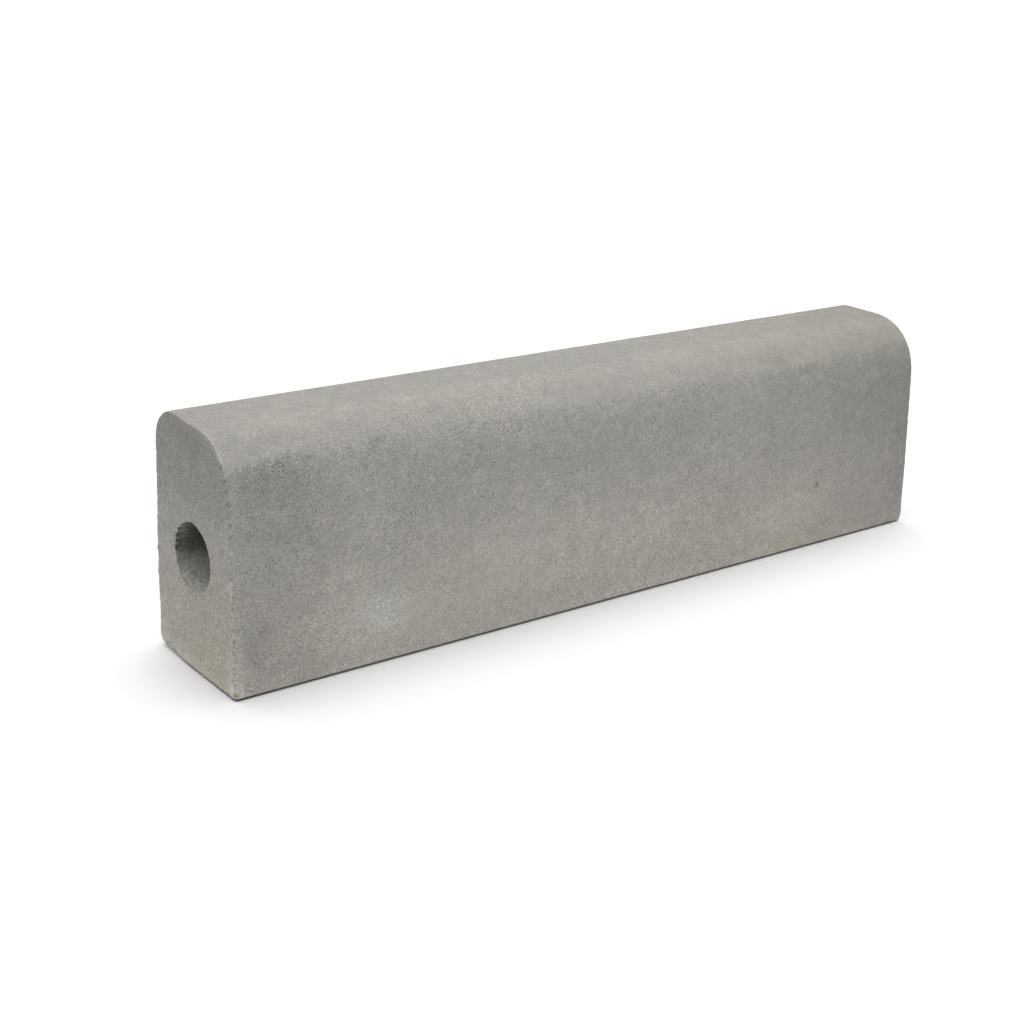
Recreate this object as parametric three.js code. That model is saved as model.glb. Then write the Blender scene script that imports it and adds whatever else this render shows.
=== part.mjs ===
// Precast concrete kerb stone: one solid casting, one metre long, lying on its base.
// Millimetres, +Z up. X runs along the kerb, the exposed front face looks to -Y, and the
// origin is on the floor under the middle of the base.

import * as THREE from 'three';

// Driving dimensions.
const length = 1000;
const baseWidth = 165;
const height = 265;
const frontBatter = 16; // how far the front face has leaned back at full height
const frontRadius = 67; // rounding between the front face and the top
const backRadius = 37; // rounding between the back face and the top
const boreDiameter = 72; // core along the whole length
const boreHeight = 124; // axis of the core above the floor
const arris = 2.5; // worn edge round both end faces and round the mouths of the core

const arcDivisions = 24;
const frontFoot = -baseWidth / 2;
const backFace = baseWidth / 2;

const concrete = new THREE.MeshStandardMaterial({ color: 0x8f8c84, roughness: 0.94, metalness: 0 });

// The section is drawn with its x across the kerb (front to back) and its y upwards.
function kerbSection() {
  const lean = Math.atan2(frontBatter, height);
  const frontCentreUp = height - frontRadius;
  const frontCentreAcross = frontFoot + (frontRadius + frontCentreUp * Math.sin(lean)) / Math.cos(lean);
  const section = new THREE.Shape();
  section.moveTo(frontFoot, 0);
  section.lineTo(backFace, 0);
  section.lineTo(backFace, height - backRadius);
  section.absarc(backFace - backRadius, height - backRadius, backRadius, 0, Math.PI / 2, false);
  section.lineTo(frontCentreAcross, height);
  // This arc leaves the top level and runs straight on into the leaning front face.
  section.absarc(frontCentreAcross, frontCentreUp, frontRadius, Math.PI / 2, Math.PI - lean, false);
  section.closePath();
  return section;
}

// The core keeps the same wall to the front and to the back at its own height.
function coreOutline() {
  const frontAtCore = frontFoot + frontBatter * (boreHeight / height);
  const outline = new THREE.Path();
  outline.absarc((frontAtCore + backFace) / 2, boreHeight, boreDiameter / 2, 0, Math.PI * 2, true);
  return outline;
}

function kerbStone() {
  const section = kerbSection();
  section.holes.push(coreOutline());
  const geometry = new THREE.ExtrudeGeometry(section, {
    depth: length - 2 * arris,
    curveSegments: arcDivisions,
    bevelEnabled: true,
    bevelThickness: arris,
    bevelSize: arris,
    bevelOffset: -arris,
    bevelSegments: 2,
  });
  geometry.translate(0, 0, arris - length / 2);
  // Turns the drawing plane upright across the kerb, with the extrusion along X.
  const across = new THREE.Vector3(0, 1, 0);
  const up = new THREE.Vector3(0, 0, 1);
  const along = new THREE.Vector3(1, 0, 0);
  geometry.applyMatrix4(new THREE.Matrix4().makeBasis(across, up, along));
  const stone = new THREE.Mesh(geometry, concrete);
  stone.name = 'kerb_stone';
  return stone;
}

const group = new THREE.Group();
group.add(kerbStone());

export default group;
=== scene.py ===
import math
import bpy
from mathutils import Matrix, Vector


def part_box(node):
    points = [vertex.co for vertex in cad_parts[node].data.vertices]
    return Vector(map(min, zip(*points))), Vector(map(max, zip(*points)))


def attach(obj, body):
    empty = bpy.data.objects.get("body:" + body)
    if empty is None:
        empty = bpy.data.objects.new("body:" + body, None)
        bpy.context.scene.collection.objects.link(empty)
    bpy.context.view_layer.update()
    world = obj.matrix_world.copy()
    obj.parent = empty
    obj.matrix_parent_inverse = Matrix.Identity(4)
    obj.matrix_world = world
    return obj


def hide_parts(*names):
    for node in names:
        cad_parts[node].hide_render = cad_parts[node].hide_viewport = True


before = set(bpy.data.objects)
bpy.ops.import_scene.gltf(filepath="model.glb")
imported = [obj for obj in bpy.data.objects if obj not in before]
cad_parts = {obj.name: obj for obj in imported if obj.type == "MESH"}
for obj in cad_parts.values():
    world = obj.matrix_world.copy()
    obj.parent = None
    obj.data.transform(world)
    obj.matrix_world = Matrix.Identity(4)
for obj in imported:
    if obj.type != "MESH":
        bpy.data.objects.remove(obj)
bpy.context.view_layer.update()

from types import SimpleNamespace

import bmesh
import bpy
from mathutils import Euler, Matrix, Vector, kdtree

lowCorner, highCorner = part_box("kerb_stone")

samePlace = 1e-5  # places nearer to each other than this, in metres, count as one
mergeReach = 1e-6  # and points as near as this are merged
longEdge = 0.2  # only the edges that span the rest of half the stone are longer than this


def say(text):
    print("[kerb]", text)


def workOn(piece, mode):
    if bpy.context.object:
        bpy.ops.object.mode_set(mode="OBJECT")
    bpy.ops.object.select_all(action="DESELECT")
    bpy.context.view_layer.objects.active = piece
    piece.select_set(True)
    bpy.ops.object.mode_set(mode=mode)


def choose(piece, kind, wanted):
    # selects the vertices, edges or faces that the test wants, and nothing else
    bpy.ops.mesh.select_mode(type={"verts": "VERT", "edges": "EDGE", "faces": "FACE"}[kind])
    bpy.ops.mesh.select_all(action="DESELECT")
    cage = bmesh.from_edit_mesh(piece.data)
    for item in getattr(cage, kind):
        item.select_set(wanted(item))
    bmesh.update_edit_mesh(piece.data)


def near(value, target):
    return abs(value - target) < samePlace


def allAt(item, axis, target):
    return all(near(vertex.co[axis], target) for vertex in item.verts)


def outFrom(centre, co):
    # distance from the bore's axis
    return math.hypot(co.y - centre.y, co.z - centre.z)


def isRim(edge, endX):
    # true on the borders of the flat end face
    return allAt(edge, 0, endX) and sum(allAt(face, 0, endX) for face in edge.link_faces) == 1


def isLong(edge):
    return abs(edge.verts[0].co.x - edge.verts[1].co.x) > longEdge


def extrudeBy(offset, scale=None, centre=None):
    # the section lies across the stone, so only its width and height are scaled
    bpy.ops.mesh.extrude_region_move(TRANSFORM_OT_translate={"value": offset})
    if scale is not None:
        bpy.ops.transform.resize(value=(1, scale, scale), center_override=centre)


def roundEdges(width, segments):
    bpy.ops.mesh.bevel(offset_type="OFFSET", offset=width, segments=segments, profile=0.5,
                       affect="EDGES")


kerb = {
    "frontBatter": 0.016,  # how far the front face has leaned back at full height
    # the roundings of the top, and how many facets each has
    "frontRadius": 0.067,
    "frontArcSteps": 46,
    "backRadius": 0.037,
    "backArcSteps": 26,
    "boreDiameter": 0.072,
    "boreHeight": 0.124,  # of its axis above the bed
    "outlineStep": 0.0023,  # the straight sides of the section are cut up about this finely
    # worn edges: width, and how many facets round each
    "arris": 0.0017,
    "arrisSteps": 3,
    "bedArris": 0.0012,
    "bedArrisSteps": 2,
    "boreArris": 0.0007,
    "boreArrisSteps": 2,
    # rings of points along the skin, close together near the end face, and cuts in what is left
    "endSteps": (0.0036, 0.0016, 0.0016, 0.0018, 0.0020, 0.0024, 0.0030, 0.0040, 0.0052),
    "bodyCuts": 60,
    # rings on the end face: each smaller than the last by this, then on to a collar round the bore
    "rimScales": (0.955, 0.982, 0.98, 0.978, 0.974, 0.968, 0.96),
    "bandSteps": 9,
    "boreCollar": 0.010,
    "collarSteps": 6,
    # rings along the bore, as along the skin
    "boreSteps": (0.0020, 0.0014, 0.0016, 0.0020, 0.0026, 0.0034, 0.0044, 0.0056, 0.0070, 0.0090),
    "boreCuts": 16,
}


def buildProfile(low, high, values):
    size = high - low
    bpy.ops.object.select_all(action="DESELECT")
    bpy.ops.mesh.primitive_cube_add(size=1, location=(low + high) / 2)
    piece = bpy.context.object
    piece.name = "concreteKerb"
    piece.scale = size
    bpy.ops.object.transform_apply(location=True, rotation=True, scale=True)
    workOn(piece, "EDIT")
    # the top of the front face leans back
    choose(piece, "verts", lambda v: near(v.co.y, low.y) and near(v.co.z, high.z))
    bpy.ops.transform.translate(value=(0, values["frontBatter"], 0))
    topFront = low.y + values["frontBatter"]
    turn = math.pi / 2 - math.atan2(values["frontBatter"], size.z)
    choose(piece, "edges", lambda e: allAt(e, 1, topFront) and allAt(e, 2, high.z))
    roundEdges(values["frontRadius"] * math.tan(turn / 2), values["frontArcSteps"])
    choose(piece, "edges", lambda e: allAt(e, 1, high.y) and allAt(e, 2, high.z))
    roundEdges(values["backRadius"], values["backArcSteps"])
    # the two long edges that stand on the ground are a little worn
    choose(piece, "edges", lambda e: allAt(e, 2, low.z) and (allAt(e, 1, low.y) or allAt(e, 1, high.y)))
    roundEdges(values["bedArris"], values["bedArrisSteps"])
    # only the near end face is kept, and its straight edges are cut up evenly
    choose(piece, "verts", lambda v: v.co.x > 0)
    bpy.ops.mesh.delete(type="VERT")
    cage = bmesh.from_edit_mesh(piece.data)
    straights = [[vertex.co.copy() for vertex in edge.verts] for edge in cage.edges
                 if edge.calc_length() > 2 * values["outlineStep"]]
    for ends in straights:
        cuts = round((ends[1] - ends[0]).length / values["outlineStep"]) - 1
        choose(piece, "edges", lambda e: all(vertex.co in ends for vertex in e.verts))
        bpy.ops.mesh.subdivide(number_cuts=cuts)
    choose(piece, "faces", lambda f: True)
    bpy.ops.mesh.delete(type="ONLY_FACE")
    return piece


def drawInToCircle(piece, centre, radius, steps):
    # draws the selected outline in along rays, until it is a circle
    for left in range(steps, 0, -1):
        extrudeBy((0, 0, 0))
        cage = bmesh.from_edit_mesh(piece.data)
        for vertex in [vertex for vertex in cage.verts if vertex.select]:
            ray = vertex.co - centre
            vertex.co = centre + ray * (1 - (1 - radius / ray.length) / left)
        bmesh.update_edit_mesh(piece.data)


def closeUp():
    bpy.ops.mesh.select_all(action="SELECT")
    bpy.ops.mesh.remove_doubles(threshold=mergeReach)
    bpy.ops.mesh.normals_make_consistent(inside=False)


def buildKerb(low, high, values):
    piece = buildProfile(low, high, values)
    frontAtBore = low.y + values["frontBatter"] * values["boreHeight"] / (high.z - low.z)
    boreCentre = Vector((low.x, (frontAtBore + high.y) / 2, low.z + values["boreHeight"]))
    collarRadius = values["boreDiameter"] / 2 + values["boreCollar"]

    def inCollar(edge):
        return outFrom(boreCentre, edge.verts[0].co) < collarRadius

    say(f"profile of {len(bmesh.from_edit_mesh(piece.data).verts)} points")
    # the skin, from the near end to half way along
    choose(piece, "edges", lambda e: allAt(e, 0, low.x))
    for step in values["endSteps"]:
        extrudeBy((step, 0, 0))
    extrudeBy((-low.x - sum(values["endSteps"]), 0, 0))
    choose(piece, "edges", isLong)
    bpy.ops.mesh.subdivide(number_cuts=values["bodyCuts"])
    # the end face, drawn in to a collar round the bore
    choose(piece, "edges", lambda e: allAt(e, 0, low.x))
    for scale in values["rimScales"]:
        extrudeBy((0, 0, 0), scale, boreCentre)
    drawInToCircle(piece, boreCentre, collarRadius, values["bandSteps"])
    radius = collarRadius
    for step in range(values["collarSteps"]):
        smaller = radius - values["boreCollar"] / values["collarSteps"]
        extrudeBy((0, 0, 0), smaller / radius, boreCentre)
        radius = smaller
    # the bore
    for step in values["boreSteps"]:
        extrudeBy((step, 0, 0))
    extrudeBy((-low.x - sum(values["boreSteps"]), 0, 0))
    choose(piece, "edges", lambda e: isLong(e) and inCollar(e))
    bpy.ops.mesh.subdivide(number_cuts=values["boreCuts"])
    closeUp()
    # worn edges round the end face and round the bore's mouth
    choose(piece, "edges", lambda e: isRim(e, low.x) and not inCollar(e))
    roundEdges(values["arris"], values["arrisSteps"])
    choose(piece, "edges", lambda e: isRim(e, low.x) and inCollar(e))
    roundEdges(values["boreArris"], values["boreArrisSteps"])
    bpy.ops.object.mode_set(mode="OBJECT")
    mirror = piece.modifiers.new("otherHalf", "MIRROR")
    mirror.use_axis = (True, False, False)
    mirror.use_clip = True
    mirror.merge_threshold = samePlace
    bpy.ops.object.modifier_apply(modifier=mirror.name)
    workOn(piece, "EDIT")
    closeUp()
    bpy.ops.object.mode_set(mode="OBJECT")
    bpy.ops.object.shade_smooth()
    return piece, boreCentre


wear = {
    "arrisReach": 0.0065,  # how far the crumbling of an end's outline reaches over both faces
    "arrisDepth": 0.0013,
    "arrisCrumb": 0.0042,  # the size of the crumbs
    "crumbContrast": 1.5,
    "arrisFull": 0.0005,  # nearer than this the wear is full
    "topShare": 0.60,  # how much of the wear the outline has over the rounded top
    "topHeight": (0.222, 0.250),
    "farShare": 0.50,  # and how much of it the far end has
    "rimReach": 0.0060,
    "rimShare": (0.12, 0.80),  # crumbling of the bore's mouth, on its front side and on its back side
    "rimAcross": (-0.012, 0.020),
    "bedReach": 0.0040,
    "bedShare": 0.35,
    "bedHeight": (-0.0001, 0.0012),  # and next to none on the bed itself
    # knocked and worn corners: end, side, height above the bed, reach, push
    "corners": (("near", "back", 0.000, 0.075, (0.0012, -0.0003, 0.0024)),
                ("near", "back", 0.000, 0.013, (0.0020, -0.0020, 0.0008)),
                ("near", "back", 0.040, 0.060, (0.0009, -0.0004, 0.0000)),
                ("near", "back", 0.000, 0.090, (0.0000, 0.0000, 0.0009)),
                ("near", "front", 0.000, 0.055, (0.0000, 0.0000, -0.0010)),
                ("near", "front", 0.000, 0.007, (0.0007, 0.0007, 0.0002)),
                ("far", "front", 0.000, 0.012, (-0.0014, 0.0014, 0.0004)),
                ("far", "front", 0.010, 0.065, (-0.0009, 0.0003, 0.0000)),
                ("far", "back", 0.000, 0.014, (-0.0018, -0.0018, 0.0005))),
    # where the section has settled a little: middle, reach and push across and up, and how far
    # from the near end it fades out
    "settled": (((0.004, 0.265), (0.046, 0.030), (0.0000, -0.0017), 0.035),
                ((-0.018, 0.264), (0.030, 0.024), (0.0000, -0.0005), 9.000),
                ((-0.006, 0.265), (0.040, 0.030), (0.0000, -0.0008), 0.700),
                ((-0.048, 0.247), (0.026, 0.024), (0.0005, -0.0006), 0.120),
                ((-0.067, 0.212), (0.020, 0.036), (0.0008, -0.0001), 9.000)),
    "underLift": 0.0016,  # the bed's outer edge is worn clear of the ground by this much
    "underStart": 0.0060,  # in from the edge: all of that up to here, and none past the reach
    "underReach": 0.0140,
    "underFade": 0.0060,  # and none higher up than this
    # the faces aren't quite flat, from low above the bed upwards
    "waveDepth": 0.0005,
    "waveSize": 0.090,
    "waveHeight": (0.0005, 0.030),
    "dimpleDepth": 0.0002,
    "dimpleSize": 0.0070,
    "dimpleHeight": (0.0005, 0.006),
    "cloudDepth": 2,  # how many finer layers a cloudy pattern has
    "leastWeight": 0.004,  # a point with less weight than this stays where it is
    "pastBore": 1.05,  # what lies further out than this many bore radii is the outline
}


def smoothStep(value, start, end):
    share = min(max((value - start) / (end - start), 0), 1)
    return share * share * (3 - 2 * share)


def wearBed(piece, low, high, values):
    # the edge of the bed curls up a little, so that only its middle bears on the ground
    for vertex in piece.data.vertices:
        co = vertex.co
        inside = min(high.x - abs(co.x), high.y - abs(co.y))
        lift = values["underLift"] * (1 - smoothStep(inside, values["underStart"], values["underReach"]))
        co.z += lift * max(0, 1 - (co.z - low.z) / values["underFade"])
    piece.data.update()


def knockCorners(piece, low, high, corners):
    # nothing is pushed into the ground
    ends = {"near": low.x, "far": high.x}
    sides = {"front": low.y, "back": high.y}
    for end, side, height, reach, push in corners:
        place = Vector((ends[end], sides[side], low.z + height))
        for vertex in piece.data.vertices:
            apart = (vertex.co - place).length
            if apart < reach:
                vertex.co += Vector(push) * (1 - smoothStep(apart, 0, reach))
                vertex.co.z = max(vertex.co.z, low.z)
    piece.data.update()


def settle(piece, low, settled):
    for middle, reach, push, fade in settled:
        for vertex in piece.data.vertices:
            co = vertex.co
            apart = math.hypot((co.y - middle[0]) / reach[0], (co.z - middle[1]) / reach[1])
            share = (1 - smoothStep(apart, 0, 1)) * (1 - smoothStep(co.x - low.x, 0, fade))
            co.y += push[0] * share
            co.z += push[1] * share
    piece.data.update()


def press(piece, name, weightOf, size, depth, values, contrast=1.0):
    # pushes the surface inwards by up to this depth, in a cloudy pattern, as far as the weight lets it
    group = piece.vertex_groups.new(name=name)
    for vertex in piece.data.vertices:
        weight = weightOf(vertex.co)
        if weight > values["leastWeight"]:
            group.add([vertex.index], weight, "REPLACE")
    pattern = bpy.data.textures.new(name, "CLOUDS")
    pattern.noise_scale = size
    pattern.noise_depth = values["cloudDepth"]
    pattern.contrast = contrast
    modifier = piece.modifiers.new(name, "DISPLACE")
    modifier.texture = pattern
    modifier.texture_coords = "LOCAL"
    modifier.direction = "NORMAL"
    modifier.mid_level = 1.0
    modifier.strength = depth
    modifier.vertex_group = group.name
    workOn(piece, "OBJECT")
    bpy.ops.object.modifier_apply(modifier=modifier.name)


def outlineTree(piece, ringX, boreCentre, pastBore):
    # the section's outline, seen along the stone, as a tree that finds its nearest point
    outline = [Vector((0, vertex.co.y, vertex.co.z)) for vertex in piece.data.vertices
               if near(vertex.co.x, ringX) and outFrom(boreCentre, vertex.co) > pastBore]
    tree = kdtree.KDTree(len(outline))
    for index, point in enumerate(outline):
        tree.insert(point, index)
    tree.balance()
    return tree


def arrisWeight(co, low, high, outline, boreCentre, boreRadius, values):
    # 1 on the edges round the ends, and less on those round the bore's mouths and the bed
    weight = 0
    alongX = high.x - abs(co.x)
    if alongX < values["arrisReach"]:
        fromOutline = math.hypot(alongX, outline.find(Vector((0, co.y, co.z)))[2])
        fromMouth = math.hypot(alongX, outFrom(boreCentre, co) - boreRadius)
        frontSide, backSide = values["rimShare"]
        acrossMouth = smoothStep(co.y - boreCentre.y, *values["rimAcross"])
        mouth = frontSide + (backSide - frontSide) * acrossMouth
        weight = max(1 - smoothStep(fromOutline, values["arrisFull"], values["arrisReach"]),
                     mouth * (1 - smoothStep(fromMouth, values["arrisFull"], values["rimReach"])))
        weight *= 1 - (1 - values["topShare"]) * smoothStep(co.z, *values["topHeight"])
        if co.x > 0:
            weight *= values["farShare"]
    fromBed = math.hypot(co.z - low.z, min(co.y - low.y, high.y - co.y))
    bed = values["bedShare"] * (1 - smoothStep(fromBed, values["arrisFull"], values["bedReach"]))
    return max(weight, bed) * smoothStep(co.z, *values["bedHeight"])


def wearKerb(piece, low, high, boreCentre, boreRadius, ringX, values):
    outline = outlineTree(piece, ringX, boreCentre, boreRadius * values["pastBore"])

    def crumbling(co):
        return arrisWeight(co, low, high, outline, boreCentre, boreRadius, values)

    wearBed(piece, low, high, values)
    knockCorners(piece, low, high, values["corners"])
    settle(piece, low, values["settled"])
    press(piece, "wave", lambda co: smoothStep(co.z, *values["waveHeight"]),
          values["waveSize"], values["waveDepth"], values)
    press(piece, "dimple", lambda co: smoothStep(co.z, *values["dimpleHeight"]),
          values["dimpleSize"], values["dimpleDepth"], values)
    worn = [crumbling(vertex.co) for vertex in piece.data.vertices]
    press(piece, "crumble", crumbling, values["arrisCrumb"], values["arrisDepth"], values,
          contrast=values["crumbContrast"])
    piece.vertex_groups.clear()
    # the finish reads how worn each place is
    arrisWear = piece.data.attributes.new("arrisWear", "FLOAT", "POINT")
    arrisWear.data.foreach_set("value", worn)


kerbPiece, boreCentre = buildKerb(lowCorner, highCorner, kerb)
boreRadius = kerb["boreDiameter"] / 2
firstRing = lowCorner.x + kerb["endSteps"][0]
wearKerb(kerbPiece, lowCorner, highCorner, boreCentre, boreRadius, firstRing, wear)
cage = bmesh.new()
cage.from_mesh(kerbPiece.data)
litres = cage.calc_volume() * 1000
say(f"faces {len(cage.faces)}, triangles {sum(len(f.verts) - 2 for f in cage.faces)}, "
    f"open edges {sum(e.is_boundary for e in cage.edges)}, "
    f"odd edges {sum(not e.is_manifold for e in cage.edges)}, volume {litres:.3f} litres")
cage.free()


class Flow:
    # wraps a socket of a shader tree, so that an expression on flows adds its Math nodes
    patchRagged = 0.7  # how far the cloudy pattern moves the edge of a patch
    patchEdge = (0.25, 1.1)  # where a patch starts to fade and where it ends, in shares of its reach

    def __init__(self, tree, socket=None):
        self.tree = tree
        self.socket = socket

    def node(self, kind, settings, sockets, output=0):
        made = self.tree.nodes.new(kind)
        for name, value in settings.items():
            setattr(made, name, value)
        for name, value in sockets.items():
            if isinstance(value, Flow):
                self.tree.links.new(value.socket, made.inputs[name])
            else:
                made.inputs[name].default_value = value
        return Flow(self.tree, made.outputs[output] if made.outputs else None)

    def maths(self, operation, *values):
        return self.node("ShaderNodeMath", {"operation": operation}, dict(enumerate(values)))

    def __add__(self, other):
        return self.maths("ADD", self, other)

    def __radd__(self, other):
        return self.maths("ADD", other, self)

    def __sub__(self, other):
        return self.maths("SUBTRACT", self, other)

    def __rsub__(self, other):
        return self.maths("SUBTRACT", other, self)

    def __mul__(self, other):
        return self.maths("MULTIPLY", self, other)

    def __rmul__(self, other):
        return self.maths("MULTIPLY", other, self)

    def parts(self):
        # the three numbers of a vector
        split = self.node("ShaderNodeSeparateXYZ", {}, {0: self}).socket.node
        return [Flow(self.tree, output) for output in split.outputs]

    def blend(self, first, second):
        # this flow as a mask between two numbers or flows, which are sockets 2 and 3 of a Mix node
        return self.node("ShaderNodeMix", {"data_type": "FLOAT"}, {0: self, 2: first, 3: second})

    def within(self, start, end):
        # 0 below start and 1 above end, smooth between them
        return self.node("ShaderNodeMapRange", {"interpolation_type": "SMOOTHSTEP"},
                         {"Value": self, "From Min": start, "From Max": end})

    def noise(self, place, scale, detail, roughness):
        # centred on 0
        return self.node("ShaderNodeTexNoise", {}, {"Vector": place, "Scale": scale, "Detail": detail,
                                                    "Roughness": roughness}) - 0.5

    def patch(self, place, ragged, middle, reach):
        # 1 in the middle of a soft-edged patch and 0 beyond its reach
        apart = self.node("ShaderNodeVectorMath", {"operation": "SUBTRACT"}, {0: place, 1: middle})
        apart = self.node("ShaderNodeVectorMath", {"operation": "DIVIDE"}, {0: apart, 1: reach})
        far = self.node("ShaderNodeVectorMath", {"operation": "LENGTH"}, {0: apart}, output="Value")
        return 1 - (far + ragged * self.patchRagged).within(*self.patchEdge)

    def scaled(self, place, scale):
        return self.node("ShaderNodeVectorMath", {"operation": "MULTIPLY"}, {0: place, 1: scale})

    def cellShade(self, place, scale):
        # one random number from 0 to 1 for each cell
        cells = self.node("ShaderNodeTexVoronoi", {}, {"Vector": place, "Scale": scale}, output="Color")
        return self.node("ShaderNodeSeparateColor", {}, {0: cells})

    def tinted(self, colour, tint, amount):
        # a colour multiplied by a tint, as far as the amount says: a Mix node's sockets 6 and 7
        return self.node("ShaderNodeMix", {"data_type": "RGBA", "blend_type": "MULTIPLY"},
                         {0: amount, 6: colour, 7: tint}, output=2)


def colourOf(red, green, blue):
    # sRGB levels of 0 to 255, as the shader's linear colour
    def linear(level):
        level = level / 255
        return level / 12.92 if level <= 0.04045 else ((level + 0.055) / 1.055) ** 2.4
    return (linear(red), linear(green), linear(blue), 1.0)


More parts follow.
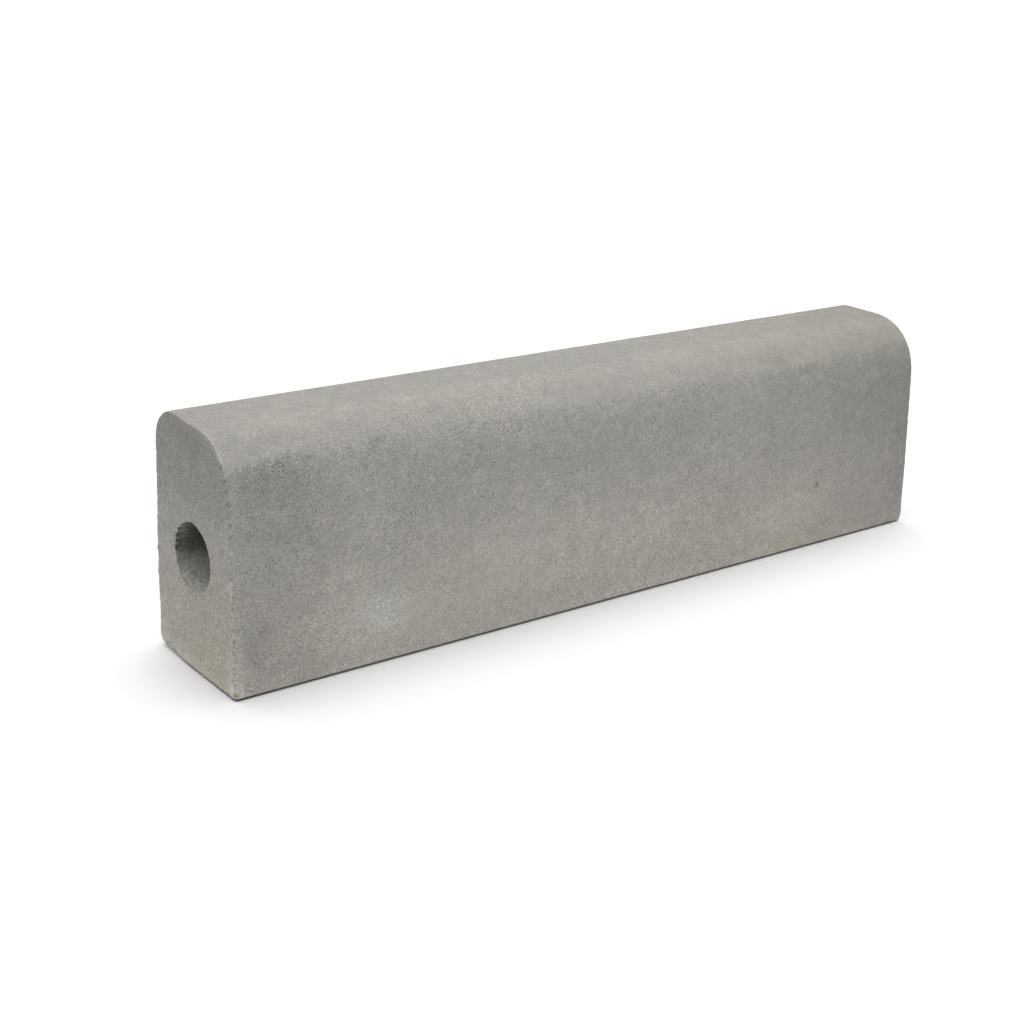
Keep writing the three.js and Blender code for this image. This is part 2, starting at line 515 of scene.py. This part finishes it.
concrete = {
    "colour": (178, 175, 169),
    "roughness": 0.93,
    "specular": 0.3,
    # how deep the bump is, and what share of it the sand and the pits have against the grain
    "bump": 0.0009,
    "bumpSand": 0.3,
    "bumpPit": 0.8,
    # the patterns that run through it, from broad to fine: scale, detail, roughness
    "broad": (5.5, 2.0, 0.5),
    "cloud": (26.0, 3.0, 0.6),
    "blotch": (85.0, 3.0, 0.6),
    "crumb": (240.0, 1.0, 0.5),
    "grain": (545.0, 2.0, 0.6),
    "sandScale": 620.0,
    # how much each of them changes the tone
    "broadTone": 0.10,
    "cloudTone": 0.22,
    "blotchTone": 0.38,
    "grainTone": 1.24,
    "sandTone": 0.25,
    # how strong the grain is in places
    "skinGrain": 0.74,
    "endGrain": 0.72,
    "boreGrain": 0.62,
    "nearGrain": 0.91,
    "farGrain": 0.46,
    "farGrainAlong": (-0.10, 0.50),
    "grainPatch": 1.3,
    "mottleGrain": 0.34,
    # coarser crumbs, in the middle and far parts, on the ends and in the bore
    "crumbAlong": (-0.30, 0.05),
    "farCrumb": 0.38,
    "endCrumb": 0.64,
    "boreCrumb": 1.0,
    "endEdge": (0.0013, 0.0021),  # the end face is what lies within this of an end
    "boreEdge": (0.0002, 0.0014),
    # how far the front leans back for each metre of height
    "frontLean": kerb["frontBatter"] / (highCorner.z - lowCorner.z),
    # the smooth skin that the mould leaves on the top: its lower edge is ragged, and soft at the far end
    "skinHeight": (0.2285, 0.2405),
    "skinSoft": (0.25, 0.48),
    "skinSofter": (0.011, 0.006),  # how much lower it starts there, and how much higher it is full
    "skinCloud": 0.010,
    "skinBlotch": 0.014,
    "skinSpeck": 0.005,
    "skinTone": 1.03,
    "flatTone": 0.075,  # the flat of the top is a little darker than its rounding
    "flatAcross": (-0.022, 0.002),
    "flatHeight": (0.235, 0.262),
    "topHeight": (0.225, 0.250),
    # the faces below it are lighter towards the ground: painted light, standing in for what the floor
    # throws up on them
    "faceTone": 0.972,
    "lowFloorLight": 0.19,
    "lowHeight": (0.030, 0.190),
    "footFloorLight": 0.09,
    "footHeight": (0.0, 0.022),
    "endTone": 0.016,
    # the end face is darker high up: painted shade, against the floor's light lower down
    "endTopShade": 0.160,
    "endTopHeight": (0.152, 0.212),
    "endTopCloud": 0.06,
    "backAcross": (-0.06, 0.0),
    # darker towards both ends: from where to where along the stone, and how much
    "nearDark": (-0.425, -0.385),
    "nearDarkCloud": 0.05,
    "nearDarkTone": 0.12,
    "nearSkin": (-0.460, -0.390),
    "nearSkinTone": 0.032,
    "farDark": (0.20, 0.50),
    "farDarkTone": 0.23,
    "farSkinTone": 0.10,
    # soft patches: middle, reach, tone
    "patches": (((-0.330, -0.080, 0.052), (0.060, 0.050, 0.034), 0.10),
                ((-0.060, -0.080, 0.085), (0.240, 0.050, 0.060), 0.05),
                ((-0.450, -0.078, 0.222), (0.045, 0.040, 0.030), -0.07),
                ((-0.235, -0.076, 0.205), (0.070, 0.040, 0.030), -0.04),
                ((0.100, -0.076, 0.200), (0.050, 0.040, 0.022), -0.04),
                ((0.260, -0.078, 0.130), (0.050, 0.040, 0.040), -0.05),
                ((-0.386, -0.078, 0.150), (0.026, 0.050, 0.080), -0.07),
                ((-0.338, -0.078, 0.175), (0.024, 0.050, 0.040), 0.06),
                ((-0.474, -0.080, 0.060), (0.026, 0.050, 0.045), -0.07),
                ((0.150, -0.080, 0.070), (0.110, 0.050, 0.080), -0.05),
                ((-0.020, -0.080, 0.055), (0.150, 0.050, 0.045), -0.05),
                ((0.420, -0.082, 0.000), (0.110, 0.050, 0.035), 0.07),
                ((0.238, -0.078, 0.110), (0.022, 0.050, 0.110), -0.04),
                ((0.310, -0.080, 0.052), (0.070, 0.050, 0.036), 0.05),
                ((-0.270, -0.078, 0.085), (0.070, 0.050, 0.055), -0.035),
                ((-0.425, -0.080, 0.070), (0.070, 0.050, 0.060), -0.03),
                ((-0.275, -0.078, 0.168), (0.034, 0.050, 0.026), -0.09),
                ((-0.305, -0.078, 0.134), (0.026, 0.050, 0.024), -0.06),
                ((-0.314, -0.080, 0.059), (0.030, 0.050, 0.024), 0.09),
                ((-0.462, -0.080, 0.050), (0.030, 0.050, 0.055), -0.05),
                ((-0.330, -0.068, 0.220), (0.040, 0.030, 0.014), -0.05),
                ((-0.374, -0.082, 0.010), (0.026, 0.050, 0.018), -0.07),
                ((-0.466, -0.077, 0.135), (0.022, 0.050, 0.045), -0.05),
                ((-0.475, -0.070, 0.210), (0.034, 0.040, 0.030), -0.05),
                ((-0.409, -0.074, 0.196), (0.028, 0.040, 0.024), -0.07),
                ((-0.221, -0.044, 0.251), (0.036, 0.030, 0.014), -0.05),
                ((-0.160, -0.081, 0.032), (0.030, 0.050, 0.022), -0.05),
                ((0.076, -0.081, 0.031), (0.034, 0.050, 0.022), -0.05),
                ((0.170, -0.078, 0.081), (0.034, 0.050, 0.026), -0.07),
                ((-0.136, -0.078, 0.127), (0.034, 0.050, 0.026), 0.05),
                ((0.495, -0.080, 0.085), (0.040, 0.050, 0.090), -0.08),
                ((-0.500, 0.000, 0.095), (0.030, 0.070, 0.060), -0.05),
                ((-0.500, -0.062, 0.085), (0.030, 0.034, 0.040), -0.05),
                ((-0.500, 0.000, 0.000), (0.030, 0.110, 0.026), 0.20),
                ((-0.500, 0.008, 0.241), (0.030, 0.046, 0.018), -0.11),
                ((-0.500, -0.074, 0.014), (0.008, 0.016, 0.020), 0.08),
                ((-0.500, 0.072, 0.004), (0.020, 0.030, 0.007), -0.14),
                ((-0.496, 0.039, 0.128), (0.006, 0.010, 0.016), -0.28),
                ((-0.434, -0.045, 0.250), (0.050, 0.030, 0.018), -0.04),
                ((-0.330, -0.045, 0.252), (0.100, 0.026, 0.016), -0.03),
                ((-0.380, -0.062, 0.229), (0.050, 0.030, 0.012), -0.05),
                ((-0.420, 0.010, 0.265), (0.090, 0.050, 0.020), 0.03),
                ((0.000, -0.060, 0.236), (0.170, 0.030, 0.022), 0.04),
                ((0.260, -0.045, 0.251), (0.060, 0.030, 0.012), -0.07),
                ((0.400, -0.070, 0.212), (0.055, 0.040, 0.026), 0.08)),
    # rough mottled places along the skin's lower edge: middle, reach, tone
    "mottled": (((-0.330, -0.062, 0.2310), (0.010, 0.030, 0.005), -0.17),
                ((-0.321, -0.058, 0.2372), (0.014, 0.030, 0.005), -0.19),
                ((-0.446, -0.067, 0.222), (0.034, 0.030, 0.012), -0.05),
                ((-0.435, -0.060, 0.234), (0.040, 0.030, 0.008), -0.09),
                ((-0.433, -0.045, 0.251), (0.014, 0.020, 0.006), -0.04),
                ((-0.292, -0.046, 0.249), (0.040, 0.026, 0.012), 0.05),
                ((-0.238, -0.048, 0.247), (0.040, 0.026, 0.012), 0.03),
                ((-0.132, -0.047, 0.248), (0.070, 0.026, 0.014), 0.03),
                ((0.264, -0.054, 0.241), (0.020, 0.026, 0.008), -0.08),
                ((0.300, -0.063, 0.227), (0.016, 0.026, 0.008), -0.08)),
    # single small marks
    "marks": (((0.3300, -0.0777, 0.0789), (0.0042, 0.0100, 0.0042), -0.34),
              ((-0.2850, -0.0494, 0.2468), (0.0040, 0.0060, 0.0030), -0.16),
              ((-0.1980, -0.0690, 0.2110), (0.0036, 0.0060, 0.0030), -0.14),
              ((0.0450, -0.0730, 0.1560), (0.0036, 0.0060, 0.0036), -0.14)),
    # the upright arrises: pale beside the edge, darker on it, and pitted in short dashes
    "endPale": (0.004, 0.020),
    "endPaleTone": 0.045,
    "sidePale": (0.007, 0.014),
    "sidePaleTone": 0.090,
    "cornerHeight": (0.012, 0.032),
    "cornerMore": 1.7,
    "frontArris": (0.004, 0.010),
    "backArris": (0.074, 0.080),
    "lineWear": (0.65, 0.95),
    "lineTone": 0.055,
    # the dashes: scale, detail, roughness, below 1 draws them out that way, and how strong they are
    # on the front arris, on the back one, on the bore's mouth and over the top
    "dashNoise": (300.0, 1.0, 0.5),
    "squat": (0.3, 0.3, 1.0),
    "frontDash": 0.75,
    "backDash": 2.2,
    "mouthDash": 1.2,
    "topDash": 2.0,
    # crumbs wherever the stone is worn, fewer of them over the top, whose edge beside the end carries a
    # painted highlight
    "crumbTone": 0.85,
    "crumbTop": 0.45,
    "paintedTopHighlight": 0.19,
    "topWear": (0.24, 0.42),
    # a few pits: how close together, which cells have one, how wide, how ragged and how dark
    "pitScale": 42.0,
    "pitPick": (0.80, 0.85),
    "pitReach": (0.030, 0.055),
    "pitSpeck": 0.03,
    "pitTone": 0.45,
    # the dark line round the foot of the stone: painted contact shade
    "bedContactShade": 0.12,
    "bedHeight": (0.0022, 0.0036),
    # the bore: a dark roof, partly damp and partly painted shade, and a pale floor, partly dust and
    # partly painted light, each at the mouth and further in, with faint rings
    "roofDampAndShade": (0.46, 0.265),
    "boreFloorDustAndLight": (1.13, 1.50),
    "boreInner": (0.004, 0.020),
    "boreFloor": (-0.0015, 0.0345),
    "boreRagged": 0.012,
    "innerRagged": 0.006,
    # painted shade deeper in the bore
    "boreDeep": (0.045, 0.200),
    "boreDeepShade": 0.70,
    "ringNoise": (420.0, 2.0, 0.6),
    "ringStretch": (1.0, 0.16, 0.16),
    "ringTone": 0.35,
    # the lip of the mouth keeps the end face's tone, without the bore's painted shade, and has dark
    # notches of painted shade in it above this height from the axis
    "lipReach": (0.0012, 0.0030),
    "lipHeight": (-0.022, -0.010),
    "notchNoise": (250.0, 1.0, 0.5),
    "notch": (-0.03, 0.06),
    "notchReach": 0.0034,
    "notchShade": 0.45,
    # on the side that was knocked the notches, and the bore's painted shade with them, reach out over
    # the end face
    "teethAcross": (0.018, 0.032),
    "teethReach": 0.0018,
    # a warm tint low down, painted warm light from the floor, the whole of it on the ends, and less
    # there
    # towards the back: the share that the long faces take, how cloudy it is, and where and how much of
    # it the ends lose
    "warmTint": (1.022, 1.0, 0.965, 1.0),
    "warmFront": 0.25,
    "warmCloud": 0.3,
    "warmEndAcross": (-0.03, 0.06),
    "warmEndLoss": 0.6,
    # and more of it towards the far end, on the skin and at the foot
    "warmSkinAlong": (0.05, 0.50),
    "warmSkin": 0.5,
    "warmFootAlong": (-0.1, 0.3),
    "warmFoot": 0.7,
    # a cool tint high up on the long faces
    "coolTint": (0.996, 1.0, 1.003, 1.0),
    "coolHeight": (0.10, 0.20),
    "coolCloud": 0.08,
    # stains: middle, reach, strength
    "stains": (((-0.500, -0.032, 0.025), (0.020, 0.056, 0.038), 1.0),
               ((0.285, -0.082, 0.012), (0.070, 0.050, 0.020), 1.0)),
    "stainTint": (1.0, 1.008, 0.952, 1.0),
    "bloom": ((-0.325, -0.080, 0.060), (0.036, 0.050, 0.030)),  # a bluish bloom of lime on the front
    "bloomTint": (0.984, 1.0, 1.020, 1.0),
    "chip": ((-0.4990, -0.0815, 0.0066), (0.0056, 0.0050, 0.0040)),
    "chipTint": (0.60, 0.59, 0.48, 1.0),
}


def readPlaces(flow, values, low, high, boreCentre, boreRadius):
    # where a point is on the stone, as masks, and the patterns that run all through the concrete
    at = SimpleNamespace()
    at.place = flow.node("ShaderNodeTexCoord", {}, {}, output="Object")
    at.along, at.across, at.up = at.place.parts()
    at.fromEnd = high.x - flow.maths("ABSOLUTE", at.along)
    at.fromNearEnd = at.along - low.x
    at.fromFront = at.across - (low.y + at.up * values["frontLean"])
    at.aboveAxis = at.up - boreCentre.z
    besideAxis = at.across - boreCentre.y
    fromAxis = flow.maths("SQRT", at.aboveAxis * at.aboveAxis + besideAxis * besideAxis)
    at.worn = flow.node("ShaderNodeAttribute", {"attribute_name": "arrisWear"}, {}, output="Fac")
    at.broad = flow.noise(at.place, *values["broad"])
    at.cloud = flow.noise(at.place, *values["cloud"])
    at.blotch = flow.noise(at.place, *values["blotch"])
    at.grain = flow.noise(at.place, *values["grain"])
    at.crumb = flow.noise(at.place, *values["crumb"])
    at.sand = flow.cellShade(at.place, values["sandScale"]) - 0.5
    at.squat = flow.scaled(at.place, values["squat"])
    at.notch = flow.noise(at.squat, *values["notchNoise"]).within(*values["notch"])
    teeth = at.notch * besideAxis.within(*values["teethAcross"]) * values["teethReach"]
    at.inBore = 1 - (fromAxis - boreRadius - teeth).within(*values["boreEdge"])
    at.onEnd = (1 - at.fromEnd.within(*values["endEdge"])) * (1 - at.inBore)
    at.onTop = at.up.within(*values["topHeight"])
    at.onBack = at.across.within(*values["backAcross"])
    at.lowFace = 1 - at.up.within(*values["lowHeight"])
    at.foot = 1 - at.up.within(*values["footHeight"])
    ragged = at.cloud * values["skinCloud"] + at.blotch * values["skinBlotch"]
    ragged = ragged + at.grain * values["skinSpeck"]
    soft = at.along.within(*values["skinSoft"])
    start, full = values["skinHeight"]
    below, above = values["skinSofter"]
    at.skin = (at.up + ragged).within(start - soft * below, full + soft * above) * (1 - at.onEnd)
    return at


def shadeFaces(flow, at, values):
    # the broad tones of the faces, with painted floor light low down and painted shade high on the end
    # face, and their patches
    # painted light from the floor, stronger low down and most at the foot
    tone = values["faceTone"] + at.lowFace * values["lowFloorLight"] + at.foot * values["footFloorLight"]
    tone = at.skin.blend(tone, values["skinTone"])
    nearEnd = 1 - (at.along + at.cloud * values["nearDarkCloud"]).within(*values["nearDark"])
    tone *= 1 - nearEnd * (1 - at.skin) * (1 - at.onEnd) * (1 - at.onBack) * values["nearDarkTone"]
    nearTop = (1 - at.along.within(*values["nearSkin"])) * at.onTop * (1 - at.onEnd)
    tone *= 1 - nearTop * values["nearSkinTone"]
    farEnd = at.along.within(*values["farDark"])
    tone *= 1 - farEnd * at.skin.blend(values["farDarkTone"], values["farSkinTone"])
    # painted shade high on the end face
    endTop = (at.up + at.cloud * values["endTopCloud"]).within(*values["endTopHeight"])
    tone *= 1 - endTop * at.onEnd * values["endTopShade"] - at.onEnd * values["endTone"]
    flat = at.across.within(*values["flatAcross"]) * at.up.within(*values["flatHeight"])
    tone *= 1 - flat * values["flatTone"]
    for middle, reach, change in values["patches"] + values["mottled"]:
        tone *= 1 + flow.patch(at.place, at.cloud, middle, reach) * change
    for middle, reach, change in values["marks"]:
        tone *= 1 + flow.patch(at.place, at.blotch, middle, reach) * change
    return tone


def grainStrength(flow, at, values):
    # how strong the grain is, here against there
    strength = at.along.within(*values["farGrainAlong"]).blend(values["nearGrain"], values["farGrain"])
    strength *= at.skin.blend(1.0, values["skinGrain"])
    strength *= at.onEnd.blend(1.0, values["endGrain"]) * at.inBore.blend(1.0, values["boreGrain"])
    strength *= 1 + (at.broad + at.cloud) * values["grainPatch"]
    # coarser half way up the skin's ragged edge, where this is 1, and in the mottled places
    mottled = at.skin * (1 - at.skin) * 4
    for middle, reach, _ in values["mottled"]:
        mottled = mottled + flow.patch(at.place, at.cloud, middle, reach)
    return strength * (1 + mottled * values["mottleGrain"])


def paleBesideArris(at, values):
    # both faces are paler beside the near front arris, most of all at the foot
    onSide = (1 - at.fromNearEnd.within(*values["sidePale"])) * (1 - at.onEnd) * (1 - at.onTop)
    onEnd = (1 - at.fromFront.within(*values["endPale"])) * at.onEnd
    corner = 1 - at.up.within(*values["cornerHeight"])
    pale = onSide * values["sidePaleTone"] + onEnd * values["endPaleTone"]
    return 1 + pale * (1 + corner * values["cornerMore"])


def crumbsAndEdgeHighlight(flow, at, values):
    # what the worn edges add to the tone, and a painted highlight on the top beside the end
    byFront = 1 - at.fromFront.within(*values["frontArris"])
    byBack = at.across.within(*values["backArris"])
    dashed = byFront * values["frontDash"] + byBack * values["backDash"]
    dashed = dashed + at.inBore * values["mouthDash"] + at.onTop * values["topDash"]
    dash = flow.noise(at.squat, *values["dashNoise"]) * dashed
    crumbs = at.worn * (at.crumb * values["crumbTone"] + dash) * at.onTop.blend(1.0, values["crumbTop"])
    # painted highlight along the top's worn edge
    topHighlight = at.worn.within(*values["topWear"]) * at.onTop * (1 - at.onEnd) * values["paintedTopHighlight"]
    line = at.worn.within(*values["lineWear"]) * byFront * (1 - at.onTop) * values["lineTone"]
    return crumbs + topHighlight - line


def boreShade(flow, at, values):
    # the tone inside the bore: damp and painted shade on the roof, dust and painted light on the floor,
    # painted shade deeper in, and faint rings
    inner = (at.fromEnd + at.cloud * values["innerRagged"]).within(*values["boreInner"])
    onFloor = (at.cloud * values["boreRagged"] - at.aboveAxis).within(*values["boreFloor"])
    shade = onFloor.blend(inner.blend(*values["roofDampAndShade"]), inner.blend(*values["boreFloorDustAndLight"]))
    # the lip is kept free of the bore's painted shade, except in the notches
    lipUnshaded = 1 - (at.fromEnd + at.notch * values["notchReach"]).within(*values["lipReach"])
    shade = lipUnshaded.blend(shade, 1.0)
    lip = at.worn * at.aboveAxis.within(*values["lipHeight"])
    shade *= 1 - lip * at.notch * values["notchShade"]
    rings = flow.noise(flow.scaled(at.place, values["ringStretch"]), *values["ringNoise"])
    deep = at.fromEnd.within(*values["boreDeep"])
    return shade * deep.blend(1.0, values["boreDeepShade"]) * (1 + rings * values["ringTone"])


def pitMask(flow, at, values):
    # a few small round pits
    apart = flow.node("ShaderNodeTexVoronoi", {}, {"Vector": at.place, "Scale": values["pitScale"]})
    picked = flow.cellShade(at.place, values["pitScale"]).within(*values["pitPick"])
    return (1 - (apart + at.grain * values["pitSpeck"]).within(*values["pitReach"])) * picked


def baseColour(flow, at, values, tone):
    # the tone as a grey, then the tints over it
    grey = flow.node("ShaderNodeCombineColor", {}, {0: tone, 1: tone, 2: tone})
    colour = flow.tinted(colourOf(*values["colour"]), grey, 1.0)
    # the warm tint low down is painted warm light from the floor
    warmEnd = 1 - at.across.within(*values["warmEndAcross"]) * values["warmEndLoss"]
    warm = at.lowFace * at.onEnd.blend(values["warmFront"], warmEnd) + at.cloud * values["warmCloud"]
    warm = warm + at.skin * at.along.within(*values["warmSkinAlong"]) * values["warmSkin"]
    warm = warm + at.foot * at.along.within(*values["warmFootAlong"]) * values["warmFoot"]
    colour = flow.tinted(colour, values["warmTint"], warm)
    cool = (at.up + at.cloud * values["coolCloud"]).within(*values["coolHeight"])
    cool = cool * (1 - at.skin) * (1 - at.onEnd)
    colour = flow.tinted(colour, values["coolTint"], cool)
    for middle, reach, strength in values["stains"]:
        stain = flow.patch(at.place, at.cloud, middle, reach) * strength
        colour = flow.tinted(colour, values["stainTint"], stain)
    bloom = flow.patch(at.place, at.cloud, *values["bloom"])
    colour = flow.tinted(colour, values["bloomTint"], bloom)
    chip = flow.patch(at.place, at.grain, *values["chip"])
    return flow.tinted(colour, values["chipTint"], chip)


def pressedConcrete(values, low, high, boreCentre, boreRadius):
    material = bpy.data.materials.new("pressedConcrete")
    material.use_nodes = True
    material.node_tree.nodes.clear()
    flow = Flow(material.node_tree)
    at = readPlaces(flow, values, low, high, boreCentre, boreRadius)
    strength = grainStrength(flow, at, values)
    pit = pitMask(flow, at, values)
    tone = shadeFaces(flow, at, values) * paleBesideArris(at, values)
    texture = (at.grain * values["grainTone"] + at.sand * values["sandTone"]) * strength
    texture = texture + at.broad * values["broadTone"] + at.cloud * values["cloudTone"]
    texture = texture + at.blotch * values["blotchTone"] + crumbsAndEdgeHighlight(flow, at, values)
    coarse = at.along.within(*values["crumbAlong"]) * (1 - at.skin) * (1 - at.onEnd) * values["farCrumb"]
    coarse = coarse + at.onEnd * values["endCrumb"] + at.inBore * values["boreCrumb"]
    texture = texture + at.crumb * coarse
    tone *= (1 + texture) * (1 - pit * values["pitTone"])
    tone *= at.inBore.blend(1.0, boreShade(flow, at, values))
    # painted contact shade round the foot
    tone *= at.up.within(*values["bedHeight"]).blend(values["bedContactShade"], 1.0)
    relief = at.grain * strength + at.sand * values["bumpSand"] + at.worn * at.crumb
    relief = relief - pit * values["bumpPit"]
    bump = flow.node("ShaderNodeBump", {}, {"Height": relief, "Strength": 1.0,
                                            "Distance": values["bump"]})
    colour = baseColour(flow, at, values, tone)
    surface = flow.node("ShaderNodeBsdfPrincipled", {}, {"Base Color": colour, "Normal": bump,
                                                         "Roughness": values["roughness"],
                                                         "Specular IOR Level": values["specular"]})
    flow.node("ShaderNodeOutputMaterial", {}, {"Surface": surface})
    return material


kerbPiece.data.materials.clear()
kerbPiece.data.materials.append(pressedConcrete(concrete, lowCorner, highCorner, boreCentre, boreRadius))
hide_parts("kerb_stone")
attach(kerbPiece, "root")
say("concrete finish on")


studio = {
    "floorSize": 30.0,
    "floorBounce": 0.80,  # what the floor throws back on the stone
    "floorSeen": (1.151, 1.154, 1.166),  # what the camera sees of it, which just about comes out white
    "underStoneShade": 0.78,  # painted shade on the seen floor close under the stone, against the open floor
    "underReach": 0.060,
    "underSamples": 4,
    # that painted shade thins out towards the far end and towards the back, from where to where
    "thinAlong": (0.340, 0.450),
    "thinAcross": (0.010, 0.055),
    "roomLight": 0.407,
    # name, direction towards the light, strength, and how wide it looks in degrees
    "lamps": (("overheadBack", (0.0, 0.364, 1.0), 0.981, 60.0),
              ("overheadRight", (0.364, 0.0, 1.0), 0.599, 60.0),
              ("frontFill", (0.0, -1.0, 0.577), 0.178, 50.0),
              ("cornerFill", (-0.41, -0.41, 1.0), 0.296, 50.0)),
}


def lookedAt(flow):
    # 1 for what the camera sees, straight or in a gloss or through glass
    rays = [flow.node("ShaderNodeLightPath", {}, {}, output=name)
            for name in ("Is Camera Ray", "Is Glossy Ray", "Is Transmission Ray")]
    return flow.maths("MINIMUM", rays[0] + rays[1] + rays[2], 1.0)


def buildFloor(values):
    bpy.ops.object.select_all(action="DESELECT")
    bpy.ops.mesh.primitive_plane_add(size=values["floorSize"], location=(0, 0, 0))
    floor = bpy.context.object
    floor.name = "studioFloor"
    material = bpy.data.materials.new("paleFloor")
    material.use_nodes = True
    material.node_tree.nodes.clear()
    flow = Flow(material.node_tree)
    bounce = flow.node("ShaderNodeBsdfDiffuse", {}, {"Color": (values["floorBounce"],) * 3 + (1,)})
    seen = flow.node("ShaderNodeBsdfDiffuse", {}, {"Color": values["floorSeen"] + (1,)})
    shaded = tuple(level * values["underStoneShade"] for level in values["floorSeen"])
    under = flow.node("ShaderNodeBsdfDiffuse", {}, {"Color": shaded + (1,)})
    # painted shade on the floor near the stone, thinned by place
    openness = flow.node("ShaderNodeAmbientOcclusion", {"samples": values["underSamples"]},
                         {"Distance": values["underReach"]}, output="AO")
    along, across = flow.node("ShaderNodeTexCoord", {}, {}, output="Object").parts()[:2]
    thick = (1 - along.within(*values["thinAlong"])) * (1 - across.within(*values["thinAcross"]))
    seen = flow.node("ShaderNodeMixShader", {}, {0: (1 - openness) * thick, 1: seen, 2: under})
    surface = flow.node("ShaderNodeMixShader", {}, {0: lookedAt(flow), 1: bounce, 2: seen})
    flow.node("ShaderNodeOutputMaterial", {}, {"Surface": surface})
    floor.data.materials.append(material)


def buildLight(values):
    world = bpy.data.worlds.new("studio")
    bpy.context.scene.world = world
    world.use_nodes = True
    world.node_tree.nodes.clear()
    flow = Flow(world.node_tree)
    white = (1, 1, 1, 1)
    room = flow.node("ShaderNodeBackground", {}, {"Color": white, "Strength": values["roomLight"]})
    seen = flow.node("ShaderNodeBackground", {}, {"Color": white, "Strength": 1.0})
    surface = flow.node("ShaderNodeMixShader", {}, {0: lookedAt(flow), 1: room, 2: seen})
    flow.node("ShaderNodeOutputWorld", {}, {"Surface": surface})
    for name, towards, strength, width in values["lamps"]:
        lamp = bpy.data.lights.new(name, "SUN")
        lamp.energy = strength
        lamp.angle = math.radians(width)
        holder = bpy.data.objects.new(name, lamp)
        bpy.context.scene.collection.objects.link(holder)
        holder.rotation_euler = Vector(towards).to_track_quat("Z", "Y").to_euler()


view = {
    # where the camera stands, in metres, and how it is turned, in degrees
    "place": (-1.24642, -1.42725, 0.77270),
    "azimuth": -38.158,
    "elevation": 18.646,
    "roll": 2.688,
    # lens and sensor in millimetres
    "lens": 60.209,
    "sensor": 36,
    "shift": (0.01706, -0.04654),  # across and up, in shares of the picture's width
    "clip": (0.05, 60),  # the nearest and the furthest that it sees, in metres
}


def buildCamera(values):
    camera = bpy.data.cameras.new("camera")
    camera.sensor_width = values["sensor"]
    camera.lens = values["lens"]
    camera.shift_x, camera.shift_y = values["shift"]
    camera.clip_start, camera.clip_end = values["clip"]
    holder = bpy.data.objects.new("camera", camera)
    bpy.context.scene.collection.objects.link(holder)
    tilt = math.pi / 2 - math.radians(values["elevation"])
    turn = Euler((tilt, 0, math.radians(values["azimuth"])))
    turned = turn.to_matrix() @ Matrix.Rotation(math.radians(values["roll"]), 3, "Z")
    holder.matrix_world = Matrix.Translation(values["place"]) @ turned.to_4x4()
    bpy.context.scene.camera = holder


buildFloor(studio)
buildLight(studio)
buildCamera(view)
bpy.context.scene.view_settings.view_transform = "Standard"
say("floor, light and camera in place")
